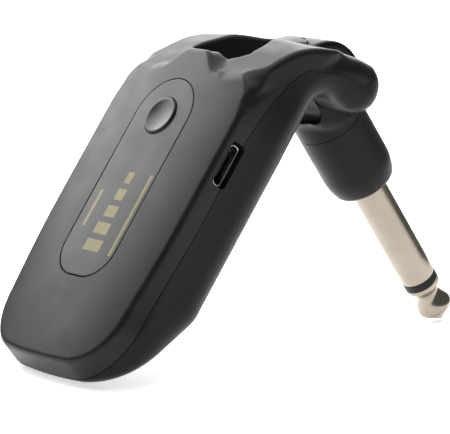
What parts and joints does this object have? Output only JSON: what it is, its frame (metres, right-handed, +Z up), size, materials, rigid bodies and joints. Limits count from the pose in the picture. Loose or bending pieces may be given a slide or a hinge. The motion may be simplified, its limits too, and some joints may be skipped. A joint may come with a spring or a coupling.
{
  "type": "wireless guitar transmitter",
  "caption": "Small battery-powered radio transmitter for an electric guitar, with a folding phone plug, a power button and a side charging port.",
  "frame": {"origin": "bottom centre of the transmitter as it stands on the housing's lower end and the plug's tip", "axes": "+X across the housing towards the charging port's side, +Y from the control face towards the plug, +Z up"},
  "size_m": [0.0338, 0.0892, 0.0529],
  "materials": {
    "cover_plastic": "satin moulded plastic with a fine grain, dark grey",
    "body_plastic": "fine-grained moulded plastic, near black",
    "panel_plastic": "smooth satin plastic, mid grey",
    "button_plastic": "smooth satin plastic, dark grey",
    "barrel_plastic": "satin moulded plastic, near black",
    "nickel_plate": "polished nickel plate",
    "insulator": "black insulating plastic",
    "adhesive": "double-sided adhesive sheet",
    "board": "green solder mask over glass-fibre laminate",
    "switch_plastic": "glass-filled plastic",
    "chip_black": "moulded epoxy package",
    "ceramic": "fired ceramic with tinned ends",
    "ferrite": "ferrite",
    "lens": "clear light-emitting diode",
    "port_steel": "folded nickel-plated steel",
    "port_plastic": "black port insulator",
    "gold_plate": "gold-plated contacts",
    "tinned_steel": "tinned sheet",
    "bare_steel": "bright steel",
    "screw_steel": "blackened steel",
    "bush_plastic": "acetal",
    "battery_foil": "foil pouch",
    "foam": "closed-cell foam",
    "wire_red": "insulated wire",
    "wire_black": "insulated wire",
    "wire_white": "insulated wire"
  },
  "bodies": {
    "housing": {"front_cover": "cover_plastic", "rear_cover": "body_plastic", "control_panel": "panel_plastic", "panel_adhesive": "adhesive", "main_board": "board", "button_switch": "switch_plastic", "switch_dome": "bare_steel", "status_led": "lens", "usb_port_shell": "port_steel", "usb_port_tongue": "port_plastic", "usb_port_contacts": "gold_plate", "rf_shield": "tinned_steel", "radio_chip": "chip_black", "antenna": "ceramic", "charge_chip": "chip_black", "power_inductor": "ferrite", "clock_crystal": "tinned_steel", "chip_capacitors": "ceramic", "battery": "battery_foil", "battery_pad": "foam", "battery_wire_red": "wire_red", "battery_wire_black": "wire_black", "case_screws": "screw_steel", "signal_wire": "wire_white", "ground_wire": "wire_black", "hinge_bushes": "bush_plastic", "friction_washers": "bare_steel", "wave_washers": "bare_steel"},
    "power_button": {"power_button": "button_plastic", "switch_plunger": "switch_plastic"},
    "plug_arm": {"barrel_shell": "barrel_plastic", "barrel_cover": "barrel_plastic", "hinge_axle": "bare_steel", "axle_clips": "bare_steel", "plug_sleeve": "nickel_plate", "plug_nut": "nickel_plate", "plug_insulator": "insulator", "plug_tip": "nickel_plate", "rear_insulator": "insulator", "tip_lug": "tinned_steel", "ground_lug": "tinned_steel", "plug_signal_wire": "wire_white", "plug_ground_wire": "wire_black"}
  },
  "joints": [
    {"name": "plug_fold", "type": "hinge", "parent": "housing", "child": "plug_arm", "pos_m": [0, 0.01212, 0.04506], "axis": [1, 0, 0], "range_deg": [-70.36, 45]},
    {"name": "button_press", "type": "slide", "parent": "housing", "child": "power_button", "axis": [0, 0.8171, -0.5764], "range_m": [0, 0.00035], "stiffness_N_per_m": 1500}
  ]
}
